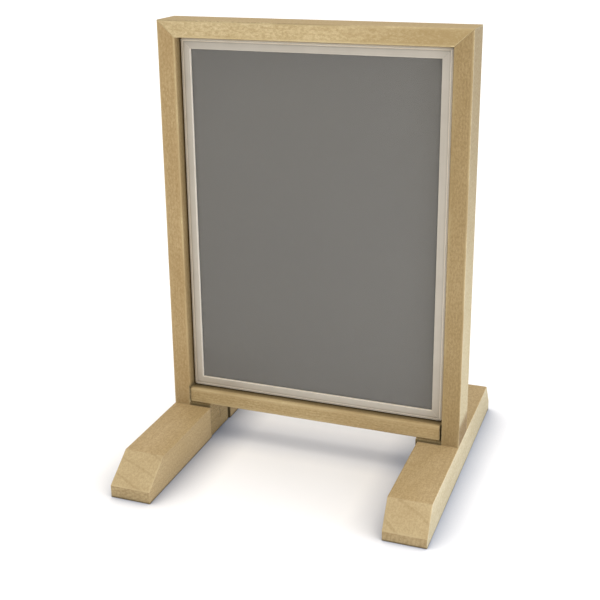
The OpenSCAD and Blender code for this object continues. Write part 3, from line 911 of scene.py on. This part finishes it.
def flute_tree():
    """A sheet whose two skins swell by a hair over every flute."""
    tree, given = new_geometry_tree("fluted_sheet", [
        ("Size", "NodeSocketVector", (0.5, 0.004, 0.7)),
        ("Centre", "NodeSocketVector", (0, 0, 0)),
        ("Pitch", "NodeSocketFloat", 0.004),
        ("Swell", "NodeSocketFloat", 0.00003),
        ("Finish", "NodeSocketMaterial", None)])
    size = add(tree, "ShaderNodeSeparateXYZ", {0: given["Size"]}).outputs
    thin = add(tree, "ShaderNodeMath", {0: given["Swell"], 1: -2.0, 2: size["Y"]},
               operation="MULTIPLY_ADD").outputs[0]
    core_size = add(tree, "ShaderNodeCombineXYZ", {0: size["X"], 1: thin, 2: size["Z"]}).outputs[0]
    flutes = add(tree, "ShaderNodeMath", {0: size["X"], 1: given["Pitch"]},
                 operation="DIVIDE").outputs[0]
    whole = add(tree, "ShaderNodeMath", {0: flutes}, operation="ROUND").outputs[0]
    columns = add(tree, "ShaderNodeMath", {0: whole, 1: COLUMNS_PER_FLUTE, 2: 1.0},
                  operation="MULTIPLY_ADD").outputs[0]
    core = add(tree, "GeometryNodeMeshCube", {
        "Size": core_size, "Vertices X": columns, "Vertices Z": 2}).outputs[0]
    position = add(tree, "GeometryNodeInputPosition").outputs[0]
    at = add(tree, "ShaderNodeSeparateXYZ", {0: position}).outputs
    turns = add(tree, "ShaderNodeMath", {0: at["X"], 1: given["Pitch"]}, operation="DIVIDE").outputs[0]
    phase = add(tree, "ShaderNodeMath", {0: turns, 1: math.tau}, operation="MULTIPLY").outputs[0]
    wave = add(tree, "ShaderNodeMath", {0: phase}, operation="COSINE").outputs[0]
    lift = add(tree, "ShaderNodeMath", {0: wave, 1: 0.5, 2: 0.5},
               operation="MULTIPLY_ADD").outputs[0]
    tall = add(tree, "ShaderNodeMath", {0: lift, 1: given["Swell"]}, operation="MULTIPLY").outputs[0]
    way = add(tree, "ShaderNodeMath", {0: at["Y"]}, operation="SIGN").outputs[0]
    outward = add(tree, "ShaderNodeMath", {0: tall, 1: way}, operation="MULTIPLY").outputs[0]
    offset = add(tree, "ShaderNodeCombineXYZ", {1: outward}).outputs[0]
    swelled = add(tree, "GeometryNodeSetPosition", {"Geometry": core, "Offset": offset}).outputs[0]
    placed = add(tree, "GeometryNodeTransform", {
        "Geometry": swelled, "Translation": given["Centre"]}).outputs[0]
    real = add(tree, "GeometryNodeRealizeInstances", {0: placed}).outputs[0]
    finished = add(tree, "GeometryNodeSetMaterial", {0: real, "Material": given["Finish"]}).outputs[0]
    add(tree, "NodeGroupOutput", {0: finished})
    return tree


flutes = flute_tree()
for face in ("front", "rear"):
    lo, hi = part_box(f"{face}_backing_panel")
    mesh = grown(f"{face}_fluted_panel", flutes, {
        "Size": hi - lo, "Centre": (lo + hi) / 2, "Pitch": FLUTE_PITCH, "Swell": FLUTE_SWELL,
        "Finish": plastic})
    piece = piece_from(f"{face}_fluted_panel", mesh, [plastic], angle=40)
    fit_out(piece, "stand", "grey_fluted_plastic", f"{face}_backing_panel")


# Radius and depth in millimetres of a screw: flat head, countersink, shank and point.
SCREW = [(0.0, 0.0), (3.2, 0.0), (3.5, 0.15), (3.5, 0.35), (1.85, 2.5), (1.55, 3.2),
         (1.55, 9.6), (0.15, 11.0), (0.0, 11.0)]
RECESS_ARM, RECESS_HALF_WIDTH = 2 * MM, 0.35 * MM


def screw_template():
    """A countersunk screw along +Y with a cross recess, its head's flat at y = 0."""
    made = turned(SCREW, 20, lambda radius, depth, angle: (
        radius * math.cos(angle), depth, radius * math.sin(angle)))
    arms = [box_mesh((-RECESS_ARM, -1 * MM, -RECESS_HALF_WIDTH),
                     (RECESS_ARM, 1.2 * MM, RECESS_HALF_WIDTH)),
            box_mesh((-RECESS_HALF_WIDTH, -1 * MM, -RECESS_ARM),
                     (RECESS_HALF_WIDTH, 1.15 * MM, RECESS_ARM))]
    return carved(finished_mesh("screw", made), arms)


def screw_row_tree():
    """Screws at a steady pitch on a straight line, each turned a little differently."""
    tree, given = new_geometry_tree("screw_row", [
        ("Screw", "NodeSocketObject", None),
        ("Count", "NodeSocketInt", 5),
        ("First", "NodeSocketVector", (0, 0, 0)),
        ("Step", "NodeSocketVector", (0.15, 0, 0)),
        ("Turn", "NodeSocketFloat", 0.0),
        ("Finish", "NodeSocketMaterial", None)])
    row = add(tree, "GeometryNodeMeshLine", {
        "Count": given["Count"], "Start Location": given["First"], "Offset": given["Step"]}).outputs[0]
    loose = add(tree, "FunctionNodeRandomValue", {2: 0.0, 3: 1.5, "Seed": 7},
                data_type="FLOAT").outputs[1]
    turned = add(tree, "ShaderNodeCombineXYZ", {1: loose, 2: given["Turn"]}).outputs[0]
    screw = add(tree, "GeometryNodeObjectInfo", {"Object": given["Screw"]}).outputs["Geometry"]
    placed = add(tree, "GeometryNodeInstanceOnPoints", {
        "Points": row, "Instance": screw, "Rotation": turned}).outputs[0]
    real = add(tree, "GeometryNodeRealizeInstances", {0: placed}).outputs[0]
    finished = add(tree, "GeometryNodeSetMaterial", {0: real, "Material": given["Finish"]}).outputs[0]
    add(tree, "NodeGroupOutput", {0: finished})
    return tree


# The row of screws lies this far inward, and no nearer than END_CLEAR to the end of a bar.
SCREW_IN, SCREW_PITCH, END_CLEAR = 14 * MM, 150 * MM, 60 * MM
FLOOR_BACK = 12.5 * MM - BAR_WALL
screw_object = new_object("screw_template", screw_template())
screws = screw_row_tree()
for face in ("front", "rear"):
    joined = bmesh.new()
    for side in ("top", "bottom", "left", "right"):
        # The rear rows lie half a pitch off the front ones, so that the screws don't meet.
        reach = math.floor((bar_half[side] - END_CLEAR) / SCREW_PITCH)
        count = 2 * reach + 1 if face == "front" else 2 * reach
        first = -(count - 1) / 2 * SCREW_PITCH
        start = bar_point(face, side, SCREW_IN, FLOOR_BACK, first)
        step = bar_point(face, side, SCREW_IN, FLOOR_BACK, first + SCREW_PITCH) - start
        mesh = grown("screw_row", screws, {
            "Screw": screw_object, "Count": count, "First": start, "Step": step,
            "Turn": 0.0 if face == "front" else math.pi, "Finish": zinc})
        joined.from_mesh(mesh)
        bpy.data.meshes.remove(mesh)
    mesh = finished_mesh(f"{face}_cross_head_screws", joined)
    piece = piece_from(f"{face}_cross_head_screws", mesh, [zinc], angle=30)
    fit_out(piece, "stand", "zinc_steel", f"{face}_frame_screws")
bpy.data.objects.remove(screw_object)


# ---- Nodes of the part that keep their shape and get a finish ----

kept = {
    "left_batten": batten_wood, "right_batten": batten_wood, "top_batten": top_wood,
    "bottom_batten": low_wood, "corner_dowels": beech, "rail_dowels": beech,
    "foot_lag_screws": zinc, "leg_lag_screws": zinc, "block_screws": zinc, "batten_screws": zinc}
for face in ("front", "rear"):
    kept[f"{face}_clear_sheet"] = clear
    kept[f"{face}_corner_keys"] = zinc
    kept[f"{face}_cover_springs"] = spring
    for side in ("left", "right"):
        kept[f"{face}_base_{side}"] = satin_z
    for side in ("top", "bottom"):
        kept[f"{face}_base_{side}"] = satin_x
for node, finish in kept.items():
    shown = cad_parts[node]
    if not shown.material_slots:
        shown.data.materials.append(finish)
    for slot in shown.material_slots:
        slot.material = finish


# ---- Floor, light and camera ----

def studio_board(name, code, shade, rough):
    """Painted studio board: pale and matt, with a trace of 4 mm roller texture. A painted contact
    shadow turns it a cool grey close to whatever stands on it, by ambient occlusion."""
    material, tree = empty_finish(name)
    # Painted contact shadow: the ambient occlusion mixes in the cool shade colour near the stand.
    nearness = add(tree, "ShaderNodeAmbientOcclusion", {"Distance": 95 * MM},
                   samples=24).outputs["AO"]
    open_sky = add(tree, "ShaderNodeMapRange", {"Value": nearness, "From Min": 0.28}).outputs[0]
    tone = add(tree, "ShaderNodeMix", {0: open_sky, 6: colour(shade), 7: colour(code)},
               data_type="RGBA").outputs[2]
    place = add(tree, "ShaderNodeTexCoord").outputs["Object"]
    roller = add(tree, "ShaderNodeTexNoise", {"Vector": place, "Scale": 240.0}).outputs["Fac"]
    gloss = add(tree, "ShaderNodeMapRange", {
        "Value": roller, "To Min": rough, "To Max": rough + 0.1}).outputs[0]
    shader = add(tree, "ShaderNodeBsdfPrincipled", {
        "Base Color": tone, "Roughness": gloss, "Specular IOR Level": 0.1})
    add(tree, "ShaderNodeOutputMaterial", {0: shader.outputs[0]})
    return material


floor_form = bmesh.new()
bmesh.ops.create_circle(floor_form, cap_ends=True, segments=96, radius=14.0)
floor_mesh = finished_mesh("studio_floor", floor_form)
floor_mesh.materials.append(studio_board("studio_floor", "#f7f7f7", "#8d98ad", 0.85))
floor = new_object("studio_floor", floor_mesh)
floor.location.z = -0.2 * MM

world = bpy.data.worlds.new("studio")
world.use_nodes = True
sky = world.node_tree.nodes["Background"].inputs
sky["Color"].default_value = colour("#f0f3fa")
sky["Strength"].default_value = 0.8
bpy.context.scene.world = world


def lamp(name, kind, at, towards, code, energy, **settings):
    """A soft light of a colour at a point, aimed at another."""
    light = bpy.data.lights.new(name, kind)
    light.color = colour(code)[:3]
    light.energy = energy
    for key, value in settings.items():
        setattr(light, key, value)
    placed = new_object(name, light)
    placed.location = at
    placed.rotation_euler = (Vector(towards) - Vector(at)).to_track_quat("-Z", "Y").to_euler()
    placed.visible_camera = False


# A broad sky almost overhead, a low cool light on the right side, and a warm one on the front.
lamp("soft_sky", "SUN", (-0.4, -0.2, 2.2), (0, 0, 0), "#fff5e6", 2.0, angle=math.radians(80))
lamp("right_side", "AREA", (1.5, -0.35, 0.26), (0.2, 0.0, 0.08), "#d9e4fb", 15.5,
     shape="RECTANGLE", size=1.0, size_y=0.24)
lamp("front_right", "AREA", (2.1, -2.0, 0.75), (-0.1, 0.0, 0.2), "#fff6e8", 12,
     shape="RECTANGLE", size=2.0, size_y=1.0)

camera_data = bpy.data.cameras.new("camera")
camera_data.sensor_width = 36.0
camera_data.lens = 63.7
camera_data.shift_y = -0.10
camera = new_object("camera", camera_data)
YAW, PITCH, ROLL = math.radians(20.39), math.radians(17.57), math.radians(-0.60)
ahead = Vector((-math.sin(YAW) * math.cos(PITCH), math.cos(YAW) * math.cos(PITCH), -math.sin(PITCH)))
camera.location = (0.7046, -1.9879, 1.1482)
camera.rotation_mode = "QUATERNION"
level = ahead.to_track_quat("-Z", "Y")
camera.rotation_quaternion = level @ Matrix.Rotation(ROLL, 3, "Z").to_quaternion()
bpy.context.scene.camera = camera
bpy.context.scene.view_settings.view_transform = "Standard"

bpy.context.view_layer.update()
